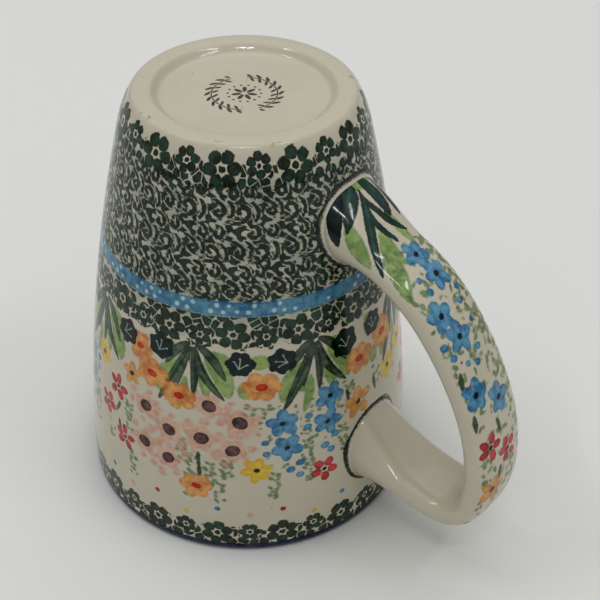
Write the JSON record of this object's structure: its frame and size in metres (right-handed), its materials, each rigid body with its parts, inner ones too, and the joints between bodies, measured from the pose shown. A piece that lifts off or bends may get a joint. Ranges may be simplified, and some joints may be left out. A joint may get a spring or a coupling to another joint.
{
  "type": "stoneware mug",
  "caption": "Tall tapered stoneware mug with a broad strap handle and hand-painted folk flowers, standing on its rim.",
  "frame": {"origin": "middle of the mug's footprint, on the plane that its rim stands on", "axes": "+Z from the rim to the foot ring, so the mug is upside down; +X along the handle, away from the cup; +Y across the strap. A half turn about X stands it upright."},
  "size_m": [0.1285, 0.09, 0.1175],
  "materials": {
    "cup_glaze": "gloss",
    "handle_glaze": "gloss",
    "slip_glaze": "gloss"
  },
  "bodies": {
    "root": {"cup_body": "cup_glaze", "handle": "handle_glaze", "foot_end_slip_joint": "slip_glaze", "rim_end_slip_joint": "slip_glaze"}
  },
  "joints": []
}
